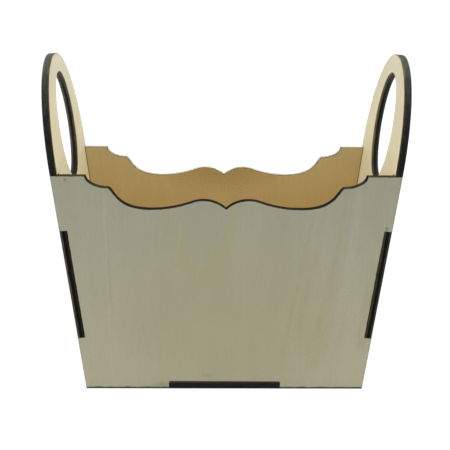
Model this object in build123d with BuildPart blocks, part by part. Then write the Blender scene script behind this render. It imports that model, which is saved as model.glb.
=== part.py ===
from build123d import *
import math
import os

os.makedirs("parts", exist_ok=True)

# Flat-pack basket of laser-cut plywood: two scalloped panels, two leaning end panels that rise
# into handles, and a base. Millimetres, +Z up, the front looks toward -Y. The origin is on the
# surface that the basket stands on, under its middle.

# Driving dimensions
sheet = 4.0  # thickness of the board that all five panels are cut from
base_width = 160.0  # bottom edge of the front and back panels
rim_overhang = 11.5  # how far each top corner stands out past the bottom corner
panel_height = 127.0  # front and back panels, up to the flats of the rim
depth = 78.0  # over the outer faces of the front and back panels
rim_dip = 18.0  # deepest point of the scalloped rim, below its flats
handle_rise = 59.0  # top of the handle above the rim, up the leaning panel
handle_top_band = 10.0  # board left over the handle hole
hole_width = 36.0
hole_height = 59.0

# Scalloped rim: places across half of the rim's width
flat_end_share = 0.803
step_share = 0.673
trough_share = 0.432
crest_share = 0.131

# Scalloped rim: depths below the flats, as shares of the dip
step_drop_share = 0.355
crest_drop_share = 0.73
cusp_drop_share = 0.99

# Scalloped rim: where the crest's arc meets the trough's arc, on the way from crest to trough
inflection_share = 0.22

# Scalloped rim: poles of the curve from trough to step, across and up between the two
trough_pole_share = 0.83
step_pole_across_share = 0.85
step_pole_up_share = 0.81

# Tabs: start and length up the slanted side, and length along the two sides of the base
side_tab_start_share = 0.26
side_tab_length_share = 0.5
base_tab_share = 0.4

# Derived sizes
lean = math.atan2(rim_overhang, panel_height)
slanted_side = math.hypot(rim_overhang, panel_height)
half_base = base_width / 2
half_rim = half_base + rim_overhang
inner_depth = depth - 2 * sheet
side_tab_start = slanted_side * side_tab_start_share
side_tab_length = slanted_side * side_tab_length_share
front_tab_length = base_width * base_tab_share
end_tab_length = inner_depth * base_tab_share
sheet_on_slope = sheet / math.cos(lean)


def on_side_edge(up, inward=0):
    """A point up the slanted side edge from the bottom corner, then square to it, inward."""
    across = half_base + up * math.sin(lean) - inward * math.cos(lean)
    height = up * math.cos(lean) + inward * math.sin(lean)
    return (across, height)


def between(start, end, share):
    """The point at this share of the straight way from start to end."""
    return tuple(a + (b - a) * share for a, b in zip(start, end))


# Outline of the front and back panels, drawn as its right half
top_corner = (half_rim, panel_height)
flat_end = (half_rim * flat_end_share, panel_height)
step = (half_rim * step_share, panel_height - rim_dip * step_drop_share)
trough = (half_rim * trough_share, panel_height - rim_dip)
crest = (half_rim * crest_share, panel_height - rim_dip * crest_drop_share)
cusp = (0, panel_height - rim_dip * cusp_drop_share)
inflection = between(crest, trough, inflection_share)
trough_pole = (between(trough, step, trough_pole_share)[0], trough[1])
step_pole = (
    between(trough, step, step_pole_across_share)[0],
    between(trough, step, step_pole_up_share)[1],
)

with BuildSketch() as rim_panel_profile:
    with BuildLine():
        Polyline(
            (0, sheet),
            (front_tab_length / 2, sheet),
            (front_tab_length / 2, 0),
            (half_base, 0),
            on_side_edge(side_tab_start),
            on_side_edge(side_tab_start, sheet),
            on_side_edge(side_tab_start + side_tab_length, sheet),
            on_side_edge(side_tab_start + side_tab_length),
            top_corner,
            flat_end,
        )
        # the cove is a quarter of an ellipse, upright at the flat and level at the step
        EllipticalCenterArc(
            (step[0], panel_height),
            flat_end[0] - step[0],
            panel_height - step[1],
            start_angle=270,
            arc_size=90,
        )
        Bezier(step, step_pole, trough_pole, trough)
        TangentArc(trough, inflection, tangent=(-1, 0))
        TangentArc(crest, inflection, tangent=(1, 0))
        TangentArc(crest, cusp, tangent=(-1, 0))
        Line(cusp, (0, sheet))
    make_face()
    mirror(about=Plane.YZ)

# Outline of an end panel, with its bottom edge on the X axis and the slope along Y
with BuildSketch() as end_panel_profile:
    Rectangle(inner_depth, slanted_side, align=(Align.CENTER, Align.MIN))
    with Locations((0, side_tab_start)):
        Rectangle(depth, side_tab_length, align=(Align.CENTER, Align.MIN))
    with BuildLine():
        handle_arch = EllipticalCenterArc(
            (0, slanted_side), depth / 2, handle_rise, arc_size=180
        )
        Line(handle_arch @ 1, handle_arch @ 0)
    make_face()
    hole_top = slanted_side + handle_rise - handle_top_band
    with Locations((0, hole_top - hole_height / 2)):
        Ellipse(hole_width / 2, hole_height / 2, mode=Mode.SUBTRACT)
    Rectangle(
        end_tab_length, sheet_on_slope, align=(Align.CENTER, Align.MIN), mode=Mode.SUBTRACT
    )

# Front and back panels, upright, each sketched on its face that looks toward -Y
for name, sketch_plane in (
    ("front_panel", Plane.XZ.offset(depth / 2)),
    ("back_panel", Plane.XZ.offset(sheet - depth / 2)),
):
    with BuildPart() as rim_panel:
        with BuildSketch(sketch_plane):
            add(rim_panel_profile.sketch)
        extrude(amount=-sheet)
    rim_panel.part.label = name
    export_step(rim_panel.part, f"parts/{name}.step")

# End panels, each sketched on its leaning outer face
for name, side in (("left_end_panel", -1), ("right_end_panel", 1)):
    outer_face = Plane(
        origin=(side * half_base, 0, 0),
        x_dir=(0, side, 0),
        z_dir=(side * math.cos(lean), 0, -math.sin(lean)),
    )
    with BuildPart() as end_panel:
        with BuildSketch(outer_face):
            add(end_panel_profile.sketch)
        extrude(amount=-sheet)
    end_panel.part.label = name
    export_step(end_panel.part, f"parts/{name}.step")

# Base, between the four walls, with its tabs flush with the outside
with BuildPart() as base_panel:
    with BuildSketch(Plane.XY):
        Rectangle(base_width - 2 * sheet_on_slope, inner_depth)
        Rectangle(front_tab_length, depth)
        Rectangle(base_width, end_tab_length)
    extrude(amount=sheet)
base_panel.part.label = "base_panel"
export_step(base_panel.part, "parts/base_panel.step")
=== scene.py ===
import math

import bmesh
import bpy
from mathutils import Matrix, Vector


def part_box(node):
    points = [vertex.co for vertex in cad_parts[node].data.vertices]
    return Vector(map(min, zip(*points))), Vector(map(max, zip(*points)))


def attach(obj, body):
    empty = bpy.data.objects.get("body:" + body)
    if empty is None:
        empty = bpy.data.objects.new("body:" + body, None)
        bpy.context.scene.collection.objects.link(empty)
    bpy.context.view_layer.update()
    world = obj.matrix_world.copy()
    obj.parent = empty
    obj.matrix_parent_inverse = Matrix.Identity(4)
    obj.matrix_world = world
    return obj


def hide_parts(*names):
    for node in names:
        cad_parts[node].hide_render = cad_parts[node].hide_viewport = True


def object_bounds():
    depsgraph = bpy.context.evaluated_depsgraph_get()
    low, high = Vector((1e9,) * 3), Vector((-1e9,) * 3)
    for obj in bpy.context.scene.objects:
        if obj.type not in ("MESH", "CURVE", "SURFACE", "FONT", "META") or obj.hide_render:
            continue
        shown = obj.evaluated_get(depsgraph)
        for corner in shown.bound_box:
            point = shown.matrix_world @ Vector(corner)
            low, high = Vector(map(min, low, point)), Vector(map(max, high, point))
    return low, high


# A flat-pack basket of laser-cut plywood on a pale floor, in metres. Each CAD board is rebuilt
# from its own outline with what a laser leaves: charred, slightly hollow edges with three plies,
# eased corners and a scorched margin on both faces.

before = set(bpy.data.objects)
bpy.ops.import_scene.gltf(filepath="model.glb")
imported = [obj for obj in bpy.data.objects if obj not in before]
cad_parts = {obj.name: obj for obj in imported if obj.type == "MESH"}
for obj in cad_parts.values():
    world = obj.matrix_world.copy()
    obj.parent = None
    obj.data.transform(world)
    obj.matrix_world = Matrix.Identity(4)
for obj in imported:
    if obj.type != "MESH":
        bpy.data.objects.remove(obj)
cad_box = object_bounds()
scene = bpy.context.scene

# Sizes read from the CAD boards
BASKET_CENTRE = (cad_box[0] + cad_box[1]) / 2
BASE_LOW, BASE_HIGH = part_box("base_panel")
RIM_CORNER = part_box("front_panel")[1]
BOARD = BASE_HIGH.z - BASE_LOW.z  # thickness
RIM_TOP = RIM_CORNER.z
ARCH_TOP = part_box("left_end_panel")[1].z

# Camera, fitted to the edges of the photographed basket
IMAGE_WIDTH = 450  # pixels
FOCAL_LENGTH = 638.4  # pixels
LENS_AXIS_ACROSS = 216.4  # pixels from the left, where the lens axis meets the picture
SENSOR_WIDTH = 36.0  # millimetres, the camera's own unit
CAMERA_PLACE = Vector((-0.00703, -0.36003, 0.20954))
CAMERA_PITCH = 0.3274  # radians below the horizon
CAMERA_YAW = 0.0060
CAMERA_ROLL = 0.0050

# Cut edge of the board
ARRIS = 0.0002  # easing of the corner between face and edge
GLUE_GROOVE = 0.00007  # depth of the line burnt out between two plies
GLUE_WIDTH = 0.00016
CORE_SETBACK = 0.00004  # how far the middle ply has burnt back

# Scorched margin of the faces: distance from the cut, and strength there
SCORCH_MARGINS = ((0.0026, 0.0), (0.00045, 0.75))

# Outlines read from the CAD meshes
FLATNESS = 1e-5  # a corner this near to the top of a board is on its outer face
OUTLINE_DECIMALS = 7  # at which two corners are one point
STRAIGHT = 1e-13  # a triangle with less area has its corners on one line
CORNER_TURN = math.radians(14)  # a sharper turn is a real corner
STEPS_PER_SEGMENT = 4
SHARP_EDGE = math.radians(30)  # a finished edge sharper than this isn't shaded smooth

WORLD_UP = Vector((0, 0, 1))
WORLD_ACROSS = Vector((1, 0, 0))


# Camera


def make_camera():
    """A camera at the photograph's viewpoint."""
    sin_pitch, cos_pitch = math.sin(CAMERA_PITCH), math.cos(CAMERA_PITCH)
    sin_yaw, cos_yaw = math.sin(CAMERA_YAW), math.cos(CAMERA_YAW)
    forward = Vector((sin_yaw * cos_pitch, cos_yaw * cos_pitch, -sin_pitch))
    level_right = Vector((cos_yaw, -sin_yaw, 0))
    level_up = level_right.cross(forward)
    right = math.cos(CAMERA_ROLL) * level_right + math.sin(CAMERA_ROLL) * level_up
    up = math.cos(CAMERA_ROLL) * level_up - math.sin(CAMERA_ROLL) * level_right
    camera = bpy.data.objects.new("camera", bpy.data.cameras.new("camera"))
    scene.collection.objects.link(camera)
    camera.data.sensor_width = SENSOR_WIDTH
    camera.data.lens = FOCAL_LENGTH / IMAGE_WIDTH * SENSOR_WIDTH
    camera.data.shift_x = 0.5 - LENS_AXIS_ACROSS / IMAGE_WIDTH
    camera.data.clip_start = 0.01
    turn = Matrix((right, up, -forward)).transposed().to_4x4()
    camera.matrix_world = Matrix.Translation(CAMERA_PLACE) @ turn
    scene.camera = camera


# Node helpers


class Tree:
    """Short calls for building one node tree."""

    def __init__(self, tree):
        self.tree = tree
        tree.nodes.clear()

    def node(self, kind, inputs=(), **settings):
        made = self.tree.nodes.new(kind)
        for name, value in settings.items():
            setattr(made, name, value)
        for key, value in dict(inputs).items():
            self.put(made.inputs[key], value)
        return made

    def put(self, socket, value):
        if isinstance(value, bpy.types.NodeSocket):
            self.tree.links.new(value, socket)
        else:
            socket.default_value = value

    def math(self, operation, *values):
        made = self.node("ShaderNodeMath", operation=operation)
        for socket, value in zip(made.inputs, values):
            self.put(socket, value)
        return made.outputs[0]

    def remap(self, value, low, high, to_low=0.0, to_high=1.0, smooth=True):
        kind = "SMOOTHSTEP" if smooth else "LINEAR"
        inputs = {0: value, 1: low, 2: high, 3: to_low, 4: to_high}
        made = self.node("ShaderNodeMapRange", inputs, interpolation_type=kind, clamp=True)
        return made.outputs[0]

    def noise(self, vector, scale, detail, rough=0.5):
        """Noise round 0.5, with its scale in cells to the metre."""
        inputs = {"Vector": vector, "Scale": scale, "Detail": detail, "Roughness": rough}
        return self.node("ShaderNodeTexNoise", inputs, noise_dimensions="3D").outputs[0]

    def wander(self, noise, size, value):
        """The value, moved to and fro by a noise."""
        return self.math("MULTIPLY_ADD", self.math("SUBTRACT", noise, 0.5), size, value)

    def combine(self, x, y, z):
        return self.node("ShaderNodeCombineXYZ", {0: x, 1: y, 2: z}).outputs[0]

    def attribute(self, name, output="Fac"):
        return self.node("ShaderNodeAttribute", attribute_name=name).outputs[output]

    def mix(self, share, first, second, blend="MIX"):
        made = self.node("ShaderNodeMix", data_type="RGBA", blend_type=blend)
        self.put(made.inputs["Factor"], share)
        self.put(made.inputs["A"], first)
        self.put(made.inputs["B"], second)
        return made.outputs["Result"]

    def glaze(self, colour, share, strength, tint):
        """The colour with a tint over it, at most as strong as the strength."""
        return self.mix(self.math("MULTIPLY", share, strength), colour, tint)

    def shaded(self, colour, shade):
        """The colour, made darker or lighter by a factor round 1."""
        return self.mix(1.0, colour, self.combine(shade, shade, shade), blend="MULTIPLY")


def linear(red, green, blue):
    """A colour written as 0 to 255 screen values, as the linear colour that a shader takes."""
    shares = [value / 255 for value in (red, green, blue)]
    straight = [s / 12.92 if s <= 0.04045 else ((s + 0.055) / 1.055) ** 2.4 for s in shares]
    return (*straight, 1.0)


# Materials

# Burnt wood, from the palest scorch to soot
SCORCH_TAN = linear(214, 170, 108)
SCORCH_AMBER = linear(148, 100, 44)
SCORCH_GOLD = linear(162, 130, 76)
SCORCH_BROWN = linear(52, 44, 32)
# painted shade for the corner where an end panel butts against the front or back board
JOINT_SHADOW = linear(92, 76, 48)
# soot of the charred edges, also used as painted contact shadow along the front's foot
SHADOW_AND_SOOT = linear(30, 29, 25)
GLUE_BLACK = linear(12, 12, 11)

# Gloss of the charred edges where a material has any
COAT_ROUGHNESS = 0.12
SHEEN_ROUGHNESS = 0.4
SHEEN_TINT = linear(226, 210, 158)

# Slow drift of a veneer's colour
VENEER_PINK = linear(200, 150, 110)
VENEER_GREEN = linear(120, 160, 150)

# Pale tongue of heartwood in the front veneer, tip down, and its brown border
TONGUE_TIP = (-0.0130, 0.0748)
TONGUE_SPREAD = 0.0084  # at this distance from its axis,
TONGUE_RISE = 0.0092  # its outline is this much higher than its tip
FLANK_STRETCH = 3.5  # how much taller the border gets with that distance
TONGUE_COLOUR = linear(146, 153, 134)
TONGUE_BORDER = linear(160, 153, 111)

# Lines in the front veneer: foot, head, bow, half width, strength and colour
VEIN_BROWN = linear(151, 139, 91)
VEIN_PALE = linear(176, 177, 158)
FRONT_VEINS = (
    ((0.0322, 0.014), (0.0474, 0.110), -0.0008, 0.0018, 0.24, VEIN_BROWN),
    ((0.0355, 0.028), (0.0412, 0.062), 0.0, 0.0009, 0.28, VEIN_PALE),
    ((0.0414, 0.035), (0.0533, 0.115), 0.0, 0.0028, 0.16, VEIN_BROWN),
    ((0.0500, 0.030), (0.0632, 0.121), 0.0020, 0.0022, 0.17, VEIN_BROWN),
    ((0.0505, 0.012), (0.0535, 0.050), 0.0, 0.0060, 0.14, VEIN_BROWN),
    ((0.0260, 0.060), (0.0320, 0.105), 0.0, 0.0016, 0.10, VEIN_BROWN),
    ((0.0565, 0.006), (0.0700, 0.124), 0.0026, 0.0034, 0.22, VEIN_PALE),
    ((0.0770, 0.024), (0.0812, 0.080), 0.0, 0.0048, 0.26, VEIN_BROWN),
    ((-0.0648, 0.002), (-0.0642, 0.118), 0.0, 0.0012, 0.24, VEIN_PALE),
    ((-0.0634, 0.055), (-0.0632, 0.104), 0.0, 0.0009, 0.24, VEIN_BROWN),
    ((-0.0800, 0.086), (-0.0810, 0.126), 0.0, 0.0042, 0.05, VEIN_BROWN),
)

# Smudges on the front veneer: centre, half size and strength
SMUDGE_COLOUR = linear(84, 82, 66)
FRONT_SMUDGES = (
    ((-0.0100, 0.0088), (0.0044, 0.0016), 0.15),
    ((-0.0362, 0.0010), (0.0080, 0.0050), 0.24),
    ((-0.0837, 0.1250), (0.0009, 0.0010), 0.45),
    ((0.0858, 0.0984), (0.0011, 0.0018), 0.50),
)

# Warmer middle of the front veneer, and the darker middle of the inner ones: centre and half size
FRONT_WARMTH = ((0.002, 0.045), (0.093, 0.062))
WARM_COLOUR = linear(157, 150, 115)
INNER_SHADE = ((0.0, 0.121), (0.052, 0.028))
INNER_SHADE_COLOUR = linear(183, 154, 95)

# Dark band over the tab of the base, on the front veneer
TAB_BAND_TOP = (0.0048, 0.0053)  # heights between which it ends
TAB_BAND_END = (0.0317, 0.0321)  # distances from the middle between which it ends
TAB_BAND_TILT = 0.0035  # how much lower it lies, for each metre to the right

# Between the hole and the outline of a handle, as distances from its middle
HOLE_SIDE = (0.019, 0.023)


class Place:
    """A point's place on its board: across the grain, along it, and down from the outer face."""

    def __init__(self, tree):
        self.tree = tree
        self.vector = tree.attribute("board", "Vector")
        split = tree.node("ShaderNodeSeparateXYZ", {0: self.vector})
        self.across, self.along, self.depth = split.outputs
        self.scorch = tree.attribute("scorch")

    def noise(self, seed, scale, detail, rough=0.5):
        """Noise over the face, the same all through the board."""
        vector = self.tree.combine(self.across, self.along, seed)
        return self.tree.noise(vector, scale, detail, rough)


def new_material(name):
    """A material with its empty node tree."""
    material = bpy.data.materials.new(name)
    material.use_nodes = True
    return material, Tree(material.node_tree)


def principled(tree, colour, normal, roughness, specular, coat=0.0, sheen=0.0):
    shader = tree.node("ShaderNodeBsdfPrincipled", {"Base Color": colour, "Normal": normal})
    for socket, value in (
        ("Roughness", roughness),
        ("Specular IOR Level", specular),
        ("Coat Weight", coat),
        ("Coat Roughness", COAT_ROUGHNESS),
        ("Sheen Weight", sheen),
        ("Sheen Roughness", SHEEN_ROUGHNESS),
        ("Sheen Tint", SHEEN_TINT),
    ):
        shader.inputs[socket].default_value = value
    tree.node("ShaderNodeOutputMaterial", {"Surface": shader.outputs[0]})


def grain(tree, place, seed):
    """Shade of plain veneer, round 1, and the height of its fibres."""
    wavy = tree.wander(place.noise(seed, 14.0, 2.0), 0.006, place.across)

    def stretched(shrink, scale, detail):
        """Noise that is drawn out along the grain, more so the smaller shrink is."""
        vector = tree.combine(wavy, tree.math("MULTIPLY", place.along, shrink), seed)
        return tree.noise(vector, scale, detail)

    bands = stretched(0.06, 80.0, 3.0)
    fibres = stretched(0.03, 800.0, 3.0)
    pores = stretched(0.05, 2200.0, 1.0)
    hairs = stretched(0.02, 4500.0, 2.0)
    flecks = stretched(0.3, 1100.0, 2.0)
    clouds = stretched(0.6, 40.0, 4.0)
    shade = tree.remap(bands, 0.3, 0.7, 0.975, 1.025, smooth=False)
    for layer, depth in ((fibres, 0.018), (hairs, 0.03), (flecks, 0.02), (clouds, 0.024)):
        shade = tree.math("ADD", shade, tree.remap(layer, 0.3, 0.7, -depth, depth, smooth=False))
    shade = tree.math("SUBTRACT", shade, tree.remap(pores, 0.6, 0.78, 0.0, 0.09))
    height = tree.math("ADD", fibres, tree.math("MULTIPLY", pores, -0.6))
    return shade, height


def streak(tree, place, foot, head, bow, half_width, seed):
    """Strength of one soft line up the board, bowed between its foot and its head."""
    climb = tree.math("SUBTRACT", place.along, foot[1])
    climb = tree.math("DIVIDE", climb, head[1] - foot[1])
    middle = tree.math("MULTIPLY", tree.math("SUBTRACT", 1.0, climb), climb)
    line = tree.math("MULTIPLY_ADD", climb, head[0] - foot[0], foot[0])
    line = tree.math("MULTIPLY_ADD", middle, 4 * bow, line)
    wobble = tree.noise(tree.combine(seed, place.along, seed), 90.0, 2.0)
    line = tree.wander(wobble, 0.0018, line)
    away = tree.math("ABSOLUTE", tree.math("SUBTRACT", place.across, line))
    strength = tree.remap(away, 0.2 * half_width, half_width, 1.0, 0.0)
    # it fades in a little before its foot and out a little past its head
    strength = tree.math("MULTIPLY", strength, tree.remap(climb, -0.08, 0.12))
    strength = tree.math("MULTIPLY", strength, tree.remap(climb, 0.88, 1.08, 1.0, 0.0))
    ragged = place.noise(seed, 260.0, 3.0)
    return tree.math("MULTIPLY", strength, tree.remap(ragged, 0.3, 0.6, 0.45, 1.0))


def spot(tree, place, centre, half_size, seed):
    """Strength of one uneven oval patch."""
    squares = []
    for axis, value in enumerate((place.across, place.along)):
        off = tree.math("DIVIDE", tree.math("SUBTRACT", value, centre[axis]), half_size[axis])
        squares.append(tree.math("POWER", off, 2.0))
    away = tree.math("SQRT", tree.math("ADD", *squares))
    ragged = place.noise(seed, 900.0, 2.0)
    return tree.remap(tree.wander(ragged, 0.7, away), 0.35, 1.0, 1.0, 0.0)


def heartwood(tree, place, colour):
    """A pale tongue with a ragged brown border."""
    wobble = place.noise(5.0, 55.0, 3.0)
    side = tree.wander(wobble, 0.007, tree.math("SUBTRACT", place.across, TONGUE_TIP[0]))
    opening = tree.math("DIVIDE", tree.math("ABSOLUTE", side), TONGUE_SPREAD)
    rise = tree.math("MULTIPLY", tree.math("POWER", opening, 2.0), TONGUE_RISE)
    inside = tree.math("SUBTRACT", tree.math("SUBTRACT", place.along, TONGUE_TIP[1]), rise)
    flank = tree.math("SQRT", tree.math("MULTIPLY_ADD", opening, FLANK_STRETCH, 1.0))
    inside = tree.math("DIVIDE", inside, flank)
    tongue = tree.remap(inside, -0.001, 0.0035)
    colour = tree.glaze(colour, tongue, 0.06, TONGUE_COLOUR)
    ragged = place.noise(8.0, 300.0, 3.0)
    begun = tree.remap(inside, -0.0098, -0.0018)
    not_over = tree.remap(inside, -0.001, 0.0025, 1.0, 0.0)
    border = tree.math("MULTIPLY", begun, not_over)
    border = tree.math("MULTIPLY", border, tree.remap(ragged, 0.3, 0.65, 0.5, 1.0))
    return tree.glaze(colour, border, 0.42, TONGUE_BORDER)


def front_figure(tree, place, colour):
    """The photographed sheet: a tongue of heartwood, leaning lines, smudges, a line of soot and
    painted contact shadow along the foot, and a dark band over the base's tab.
    """
    colour = heartwood(tree, place, colour)
    for foot, head, bow, half_width, strength, tint in FRONT_VEINS:
        share = streak(tree, place, foot, head, bow, half_width, 20 * foot[0] + foot[1])
        colour = tree.glaze(colour, share, strength, tint)
    warm = spot(tree, place, *FRONT_WARMTH, 3.0)
    colour = tree.glaze(colour, warm, 0.45, WARM_COLOUR)
    for centre, half_size, strength in FRONT_SMUDGES:
        share = spot(tree, place, centre, half_size, centre[0] * 50)
        colour = tree.glaze(colour, share, strength, SMUDGE_COLOUR)

    # a ragged dark line along the bottom edge: painted contact shadow, with some soot of the
    # charred edge
    ragged = tree.noise(tree.combine(place.across, 0.0, 2.0), 170.0, 3.0)
    reach = tree.remap(ragged, 0.3, 0.7, 0.0009, 0.0015, smooth=False)
    sooty = tree.math("SUBTRACT", reach, place.along)
    colour = tree.mix(tree.remap(sooty, -0.0002, 0.0001, 0.0, 0.85), colour, SHADOW_AND_SOOT)
    # a dark band over the base's tab, which sits a little high, more so at its left end
    tilted = tree.math("MULTIPLY_ADD", place.across, TAB_BAND_TILT, place.along)
    over_tab = tree.remap(tilted, *TAB_BAND_TOP, 0.9, 0.0)
    beside = tree.remap(tree.math("ABSOLUTE", place.across), *TAB_BAND_END, 1.0, 0.0)
    return tree.glaze(colour, over_tab, beside, SHADOW_AND_SOOT)


def inner_figure(tree, place, colour):
    """A darker middle, and painted shade along the lines where the two end panels butt against
    this face.
    """
    middle = spot(tree, place, *INNER_SHADE, 8.0)
    colour = tree.glaze(colour, middle, 0.9, INNER_SHADE_COLOUR)
    slope = (RIM_CORNER.x - BASE_HIGH.x) / RIM_TOP
    foot = BASE_HIGH.x - BASE_HIGH.z * math.hypot(1, slope)
    wall = tree.math("MULTIPLY_ADD", place.along, slope, foot)
    gap = tree.math("SUBTRACT", wall, tree.math("ABSOLUTE", place.across))
    gap = tree.math("ABSOLUTE", gap)
    # painted shade: a thin dark line where the end panel's edge meets this face
    return tree.mix(tree.remap(gap, 0.0002, 0.0006, 0.8, 0.0), colour, JOINT_SHADOW)


def wood_face(name, low, high, heights, seed, scorch_reach, figure=None, fade=1.0, burn=1.0):
    """Bare veneer with straight grain and a scorched margin beside every cut.

    low and high are its colours at the two heights, up the board. scorch_reach is the share of
    the margin that shows, figure adds what only this face has, a higher fade leaves less of the
    scorch away from the cut, and burn is the strength of the brown line at the cut.
    """
    material, tree = new_material(name)
    place = Place(tree)
    colour = tree.mix(tree.remap(place.along, *heights, smooth=False), linear(*low), linear(*high))
    shade, height = grain(tree, place, seed)
    colour = tree.shaded(colour, shade)
    hue = place.noise(seed, 35.0, 3.0)
    colour = tree.mix(tree.remap(hue, 0.5, 0.75, 0.0, 0.05), colour, VENEER_PINK)
    colour = tree.mix(tree.remap(hue, 0.5, 0.25, 0.0, 0.05), colour, VENEER_GREEN)
    if figure:
        colour = figure(tree, place, colour)
    uneven = tree.remap(tree.noise(place.vector, 420.0, 2.0), 0.3, 0.7, 0.8, 1.12, smooth=False)
    scorch = tree.math("MULTIPLY", place.scorch, uneven)
    tint = tree.math("POWER", tree.remap(scorch, 1.0 - scorch_reach, 1.0), fade)
    amber = tree.mix(tint, SCORCH_TAN, SCORCH_AMBER)
    colour = tree.glaze(colour, tint, 0.85, amber)
    colour = tree.mix(tree.remap(scorch, 0.88, 1.0, 0.0, burn), colour, SCORCH_BROWN)
    bump = tree.node("ShaderNodeBump", {"Strength": 0.2, "Distance": 0.00008, "Height": height})
    principled(tree, colour, bump.outputs[0], roughness=0.62, specular=0.2)
    return material


def cut_edge(
    name, plies, painted_highlight, heights, upper=None, arch=None,
    roughness=0.6, specular=0.15, coat=0.0, sheen=0.0, marks=0.35,
):
    """Laser-charred edge: three plies between black glue lines, with fine marks of the beam.

    A cut along the grain burns to the colours of the plies, and one across it is made paler by a
    painted highlight, for the sheen of light on top of the edge, strongest at the upper of the two
    heights. marks is how strongly the beam and the soot show. A handle has two more looks: upper
    holds the plies' colours inside its hole, and arch is the colour round its outside, with a
    golden lip beside the inner face.
    """
    material, tree = new_material(name)
    place = Place(tree)
    plies = [linear(*ply) for ply in plies]
    down = tree.math("DIVIDE", place.depth, BOARD)
    wobble = place.noise(1.0, 150.0, 2.0)
    wavy = tree.wander(wobble, 0.08, down)
    if upper:
        lift = tree.remap(place.along, heights[0], heights[0] + 0.02)
        plies = [tree.mix(lift, below, linear(*above)) for below, above in zip(plies, upper)]
    colour = tree.mix(tree.remap(wavy, 0.30, 0.36), plies[0], plies[1])
    colour = tree.mix(tree.remap(wavy, 0.64, 0.70), colour, plies[2])
    for glue in (1 / 3, 2 / 3):
        off = tree.math("ABSOLUTE", tree.math("SUBTRACT", wavy, glue))
        colour = tree.mix(tree.remap(off, 0.015, 0.05, 0.75, 0.0), colour, GLUE_BLACK)
    if arch:
        above_rim = tree.remap(place.along, heights[0] - 0.002, heights[0] + 0.008)
        outside = tree.remap(tree.math("ABSOLUTE", place.across), *HOLE_SIDE, 0.0, 0.96)
        colour = tree.glaze(colour, outside, above_rim, linear(*arch))
    # painted highlight: cuts that run across the grain are made paler toward the upper height, for
    # the sheen of light on top of the edge
    across_grain = tree.math("POWER", tree.attribute("end_grain"), 2.2)
    toward_top = tree.remap(place.along, *heights, 0.15, 1.0)
    colour = tree.glaze(colour, across_grain, toward_top, linear(*painted_highlight))
    if arch:
        lip = tree.remap(down, 0.9, 0.97, 0.0, 0.65)
        colour = tree.glaze(colour, lip, above_rim, SCORCH_GOLD)
    beam = place.noise(0.0, 2600.0, 2.0, 0.6)
    layered = tree.combine(place.across, place.along, tree.math("MULTIPLY", place.depth, 5.0))
    soot = tree.noise(layered, 160.0, 3.0)
    shade = tree.remap(beam, 0.3, 0.7, 1 - marks / 2, 1 + marks / 2)
    smoky = tree.remap(soot, 0.3, 0.7, 1 - marks, 1 + marks, smooth=False)
    colour = tree.shaded(colour, tree.math("MULTIPLY", shade, smoky))
    relief = tree.node("ShaderNodeBump", {"Strength": marks, "Distance": 0.00006, "Height": beam})
    principled(tree, colour, relief.outputs[0], roughness, specular, coat, sheen)
    return material


# Board geometry


def outward_normal(mesh):
    """Normal of the board's broad face that looks away from the inside of the basket."""
    areas = {}
    for polygon in mesh.polygons:
        key = tuple(round(c, 3) for c in polygon.normal)
        areas[key] = areas.get(key, 0) + polygon.area
    normal = Vector(max(areas, key=areas.get)).normalized()
    facings = [polygon.normal for polygon in mesh.polygons]
    normal = max(facings, key=lambda facing: facing.dot(normal)).copy()
    corners = [vertex.co for vertex in mesh.vertices]
    centre = sum(corners, Vector()) / len(corners)
    return normal if (centre - BASKET_CENTRE).dot(normal) > 0 else -normal


def outline_loops(mesh, normal, across, along):
    """Closed outlines of the board's outer face, and how far out along the normal it lies.

    Their points are across and along the board, and the material is on their left.
    """
    top = max(v.co.dot(normal) for v in mesh.vertices)
    count = {}
    for polygon in mesh.polygons:
        corners = [mesh.vertices[i].co for i in polygon.vertices]
        if min(c.dot(normal) for c in corners) < top - FLATNESS:
            continue
        keys = [
            (round(c.dot(across), OUTLINE_DECIMALS), round(c.dot(along), OUTLINE_DECIMALS))
            for c in corners
        ]
        for start, end in zip(keys, keys[1:] + keys[:1]):
            count[(start, end)] = count.get((start, end), 0) + 1
    following = {a: b for (a, b) in count if (b, a) not in count}
    loops = []
    while following:
        point = min(following)
        loop = []
        while point in following:
            loop.append(Vector(point))
            point = following.pop(point)
        loops.append(loop)
    return loops, top


def turn_at(before, here, after):
    return (here - before).angle_signed(after - here, 0.0)


def circle_direction(first, second, third, at):
    """Direction, at one of three points, of the circle through them, or of the line."""
    a, b, c = first, second, third
    twice_area = 2 * ((b - a).x * (c - a).y - (b - a).y * (c - a).x)
    if abs(twice_area) < STRAIGHT:
        return (c - a).normalized()
    square_a, square_b, square_c = a.length_squared, b.length_squared, c.length_squared
    x = (square_a * (b.y - c.y) + square_b * (c.y - a.y) + square_c * (a.y - b.y)) / twice_area
    y = (square_a * (c.x - b.x) + square_b * (a.x - c.x) + square_c * (b.x - a.x)) / twice_area
    radius = at - Vector((x, y))
    direction = Vector((-radius.y, radius.x)).normalized()
    return direction if direction.dot(c - a) > 0 else -direction


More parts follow.
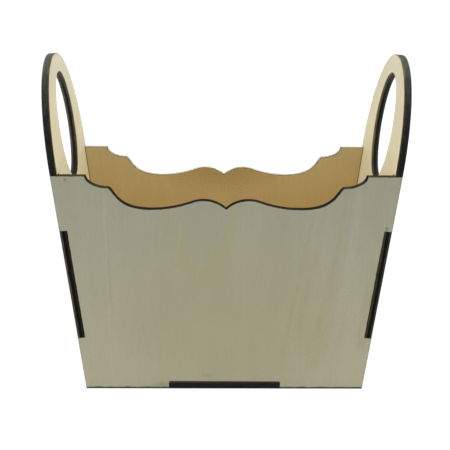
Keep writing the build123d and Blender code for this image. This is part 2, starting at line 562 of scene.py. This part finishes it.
def refine(loop):
    """The outline with each smooth stretch divided more finely along its curve."""
    count = len(loop)
    corner = []
    for i, here in enumerate(loop):
        corner.append(abs(turn_at(loop[i - 1], here, loop[(i + 1) % count])) > CORNER_TURN)
    fine = []
    for i, start in enumerate(loop):
        j = (i + 1) % count
        end = loop[j]
        fine.append(start)
        if corner[i] and corner[j]:
            continue
        before = start if corner[i] else loop[i - 1]
        after = end if corner[j] else loop[(j + 1) % count]
        leave = circle_direction(before, start, end, start) if not corner[i] else None
        arrive = circle_direction(start, end, after, end) if not corner[j] else None
        leave = leave or circle_direction(start, end, after, start)
        arrive = arrive or circle_direction(before, start, end, end)
        chord = (end - start).length
        for step in range(1, STEPS_PER_SEGMENT):
            t = step / STEPS_PER_SEGMENT
            fine.append(
                start * (2 * t**3 - 3 * t**2 + 1)
                + leave * (chord * (t**3 - 2 * t**2 + t))
                + end * (3 * t**2 - 2 * t**3)
                + arrive * (chord * (t**3 - t**2))
            )
    return fine


def inset(loop, distance):
    """The outline moved into the material, with mitred corners."""
    count = len(loop)
    moved, outer_corners = [], []
    for i, here in enumerate(loop):
        into = (here - loop[i - 1]).normalized()
        out = (loop[(i + 1) % count] - here).normalized()
        left_in, left_out = Vector((-into.y, into.x)), Vector((-out.y, out.x))
        mitre = left_in + left_out
        moved.append(here + mitre * (2 * distance / mitre.length_squared))
        if left_in.dot(out) > math.sin(CORNER_TURN):
            outer_corners.append(i)
    # beside an outer corner, points that the mitre has passed wait at the mitre
    for i in outer_corners:
        for step in (1, -1):
            ahead = loop[(i + step) % count] - loop[i]
            j = (i + step) % count
            while (moved[j] - moved[i]).dot(ahead) < 0:
                moved[j] = moved[i]
                j = (j + step) % count
    return moved


def edge_profile(thickness):
    """Rings down the cut edge: depth below the outer face, and distance into the material.

    The edge is the same from both faces, so it is listed to the middle and then mirrored.
    """
    half_glue = GLUE_WIDTH / 2
    eased = [(0.0, ARRIS), (0.3 * ARRIS, 0.3 * ARRIS), (ARRIS, 0.0)]
    first = thickness / 3
    groove = [(first - half_glue, 0.0), (first, GLUE_GROOVE), (first + half_glue, CORE_SETBACK)]
    half = eased + groove
    return half + [(thickness - depth, into) for depth, into in reversed(half)]


def make_board(name, node, outer, inner, edge, fibre=WORLD_UP):
    """Rebuilds one CAD board with its finished edges, and lets it stand for its node."""
    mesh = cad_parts[node].data
    normal = outward_normal(mesh)
    along = (fibre - normal * fibre.dot(normal)).normalized()
    across = along.cross(normal)
    loops, top = outline_loops(mesh, normal, across, along)
    thickness = top - min(v.co.dot(normal) for v in mesh.vertices)
    loops = [refine(loop) for loop in loops]
    outer_slot, inner_slot, edge_slot = range(3)

    shape = bmesh.new()
    place_layer = shape.verts.layers.float_vector.new("board")
    scorch_layer = shape.verts.layers.float.new("scorch")
    end_grain_layer = shape.faces.layers.float.new("end_grain")

    def ring(loop, depth, distance, scorch):
        placed, made = {}, []
        for flat in inset(loop, distance) if distance else loop:
            key = tuple(flat)
            if key not in placed:
                point = across * flat.x + along * flat.y + normal * (top - depth)
                placed[key] = shape.verts.new(point)
                placed[key][place_layer] = Vector((flat.x, flat.y, depth))
                placed[key][scorch_layer] = scorch
            made.append(placed[key])
        return made

    def bridge(loop, upper, lower, slot):
        for i in range(len(upper)):
            j = (i + 1) % len(upper)
            corners = dict.fromkeys((upper[i], lower[i], lower[j], upper[j]))
            if len(corners) > 2:
                face = shape.faces.new(corners)
                face.material_index = slot
                face[end_grain_layer] = abs((loop[j] - loop[i]).normalized().x)

    def cap(rings, slot, facing):
        pairs = [(r[i - 1], r[i]) for r in rings for i in range(len(r))]
        edges = [shape.edges.get(pair) for pair in pairs if pair[0] is not pair[1]]
        made = bmesh.ops.triangle_fill(shape, edges=edges, use_beauty=True, normal=facing)
        for face in made["geom"]:
            if isinstance(face, bmesh.types.BMFace):
                face.material_index = slot

    # rings from the margin of the outer face, down the cut edge, to the margin of the inner face
    rings = [(0.0, distance, scorch) for distance, scorch in SCORCH_MARGINS]
    rings += [(depth, distance, 1.0) for depth, distance in edge_profile(thickness)]
    rings += [(thickness, distance, scorch) for distance, scorch in reversed(SCORCH_MARGINS)]
    margins = len(SCORCH_MARGINS)
    edge_bands = len(rings) - 1 - 2 * margins
    slots = [outer_slot] * margins + [edge_slot] * edge_bands + [inner_slot] * margins
    outer_rings, inner_rings = [], []
    for loop in loops:
        down = [ring(loop, *place) for place in rings]
        for upper, lower, slot in zip(down, down[1:], slots):
            bridge(loop, upper, lower, slot)
        outer_rings.append(down[0])
        inner_rings.append(down[-1])
    cap(outer_rings, outer_slot, normal)
    cap(inner_rings, inner_slot, -normal)
    bmesh.ops.recalc_face_normals(shape, faces=shape.faces)

    data = bpy.data.meshes.new(name)
    shape.to_mesh(data)
    shape.free()
    for material in (outer, inner, edge):
        data.materials.append(material)
    data.shade_smooth()
    data.set_sharp_from_angle(angle=SHARP_EDGE)
    board = bpy.data.objects.new(name, data)
    scene.collection.objects.link(board)
    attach(board, "root")
    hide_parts(node)


# Studio


def make_floor():
    """A pale floor just under the basket, white to the camera but for the basket's shadow."""
    bpy.ops.mesh.primitive_circle_add(vertices=64, radius=4.0, fill_type="NGON")
    floor = bpy.context.object
    floor.name = "floor"
    floor.location.z = -0.00005  # clear of the underside
    material, tree = new_material("floor")
    plain = tree.node("ShaderNodeBsdfDiffuse", {"Color": (0.86, 0.86, 0.86, 1)})
    glow = tree.node("ShaderNodeEmission", {"Color": (1, 1, 1, 1), "Strength": 1.08})
    camera_ray = tree.node("ShaderNodeLightPath").outputs["Is Camera Ray"]
    away = tree.node("ShaderNodeVectorMath", operation="LENGTH")
    tree.put(away.inputs[0], tree.node("ShaderNodeTexCoord").outputs["Object"])
    # near the basket a fifth of what the camera sees is the lit floor, with the shadow on it
    glowing = tree.remap(away.outputs["Value"], 0.2, 0.7, 0.8, 1.0)
    share = tree.math("MULTIPLY", camera_ray, glowing)
    mixed = tree.node("ShaderNodeMixShader", {0: share, 1: plain.outputs[0], 2: glow.outputs[0]})
    tree.node("ShaderNodeOutputMaterial", {"Surface": mixed.outputs[0]})
    floor.data.materials.append(material)


def make_world():
    """White to the camera, plain soft light on the object, and in reflections a backdrop.

    The backdrop is white behind the basket and fades toward the camera's side.
    """
    world = bpy.data.worlds.new("studio")
    scene.world = world
    world.use_nodes = True
    tree = Tree(world.node_tree)

    def background(strength):
        made = tree.node("ShaderNodeBackground", {"Color": (1, 1, 1, 1), "Strength": strength})
        return made.outputs[0]

    def choose(share, first, second):
        return tree.node("ShaderNodeMixShader", {0: share, 1: first, 2: second}).outputs[0]

    direction = tree.node("ShaderNodeTexCoord").outputs["Generated"]
    toward_back = tree.node("ShaderNodeSeparateXYZ", {0: direction}).outputs[1]
    mirrored = background(tree.remap(toward_back, -0.2, 0.6, 0.15, 1.0))
    path = tree.node("ShaderNodeLightPath")
    seen = tree.math("MAXIMUM", path.outputs["Is Camera Ray"], path.outputs["Is Transmission Ray"])
    lighting = choose(path.outputs["Is Glossy Ray"], background(0.5), mirrored)
    tree.node("ShaderNodeOutputWorld", {"Surface": choose(seen, lighting, background(1.0))})


def make_lamp(name, place, size, power):
    """A softbox that looks at the middle of the basket."""
    data = bpy.data.lights.new(name, "AREA")
    data.shape = "RECTANGLE"
    data.size, data.size_y = size
    data.energy = power
    lamp = bpy.data.objects.new(name, data)
    scene.collection.objects.link(lamp)
    lamp.location = place
    lamp.visible_camera = False
    lamp.rotation_mode = "QUATERNION"
    lamp.rotation_quaternion = (BASKET_CENTRE - Vector(place)).to_track_quat("-Z", "Y")


make_camera()
make_floor()
make_world()
make_lamp("front_softbox", (0.0, -0.85, 0.85), (0.9, 0.9), 4.0)
make_lamp("left_softbox", (-0.95, -0.12, 0.65), (0.7, 0.7), 4.6)
make_lamp("right_softbox", (0.95, -0.12, 0.65), (0.7, 0.7), 4.6)
make_lamp("rear_softbox", (0.0, 1.3, 0.31), (0.8, 0.5), 4.0)

# grey-green and darker than the ends: painted shade of a face that the light reaches less, and
# lighter toward the foot: painted light bounced from the floor
front_wood = wood_face(
    "front_veneer", (172, 169, 143), (150, 151, 131), (0.01, RIM_TOP),
    seed=3.0, scorch_reach=0.125, figure=front_figure,
)
back_wood = wood_face(
    "back_veneer", (170, 166, 142), (158, 157, 136), (0.01, RIM_TOP),
    seed=5.0, scorch_reach=0.19,
)
# warm brown, darker than the ends: painted shade, warmed by painted light bounced inside the
# basket
inner_wood = wood_face(
    "inner_veneer", (209, 179, 117), (198, 177, 125), (0.09, RIM_TOP),
    seed=7.0, scorch_reach=0.19, figure=inner_figure,
)
floor_wood = wood_face(
    "floor_veneer", (205, 182, 134), (205, 183, 137), (-0.08, 0.08),
    seed=9.0, scorch_reach=0.19,
)
# cream and lighter toward the rim: the lit side of the same plywood, with painted light that
# offsets the shade low in the basket
end_wood = wood_face(
    "end_veneer", (236, 225, 184), (214, 207, 177), (RIM_TOP, ARCH_TOP),
    seed=11.0, scorch_reach=0.5, fade=1.6, burn=0.3,
)
end_outer_wood = wood_face(
    "end_outer_veneer", (196, 188, 158), (204, 197, 168), (0.0, ARCH_TOP),
    seed=17.0, scorch_reach=0.45,
)

# Each edge: its three plies from the outer face, its painted highlight colour, and the heights
# over which that highlight grows
front_char = cut_edge(
    "front_char", ((46, 44, 37), (36, 35, 31), (36, 36, 33)), (74, 72, 60),
    (RIM_TOP - 0.013, RIM_TOP), roughness=0.85, specular=0.0,
)
# paler and browner plies than the front's char: a painted reflection of the backdrop on the rim's
# top, added to its coat and sheen
back_char = cut_edge(
    "back_char", ((80, 72, 46), (60, 54, 36), (76, 68, 42)), (106, 94, 60),
    (0.0, RIM_TOP), coat=0.6, sheen=1.0, marks=0.08,
)
left_char = cut_edge(
    "left_char", ((69, 68, 53), (14, 14, 13), (30, 31, 27)), (96, 100, 92),
    (RIM_TOP, ARCH_TOP), upper=((96, 93, 78), (29, 29, 28), (76, 75, 67)),
    arch=(29, 30, 28), roughness=0.75, specular=0.06,
)
right_char = cut_edge(
    "right_char", ((49, 50, 43), (15, 15, 14), (56, 53, 40)), (93, 96, 88),
    (RIM_TOP, ARCH_TOP), upper=((54, 54, 50), (28, 28, 27), (100, 91, 62)),
    arch=(29, 29, 28), roughness=0.75, specular=0.06,
)
base_char = cut_edge(
    "base_char", ((28, 28, 26), (25, 25, 23), (28, 28, 26)), (30, 30, 28), (0.0, RIM_TOP)
)

make_board("front_board", "front_panel", front_wood, inner_wood, front_char)
make_board("back_board", "back_panel", back_wood, inner_wood, back_char)
make_board("left_end_board", "left_end_panel", end_outer_wood, end_wood, left_char)
make_board("right_end_board", "right_end_panel", end_outer_wood, end_wood, right_char)
make_board("base_board", "base_panel", end_outer_wood, floor_wood, base_char, WORLD_ACROSS)

scene.view_settings.view_transform = "Standard"
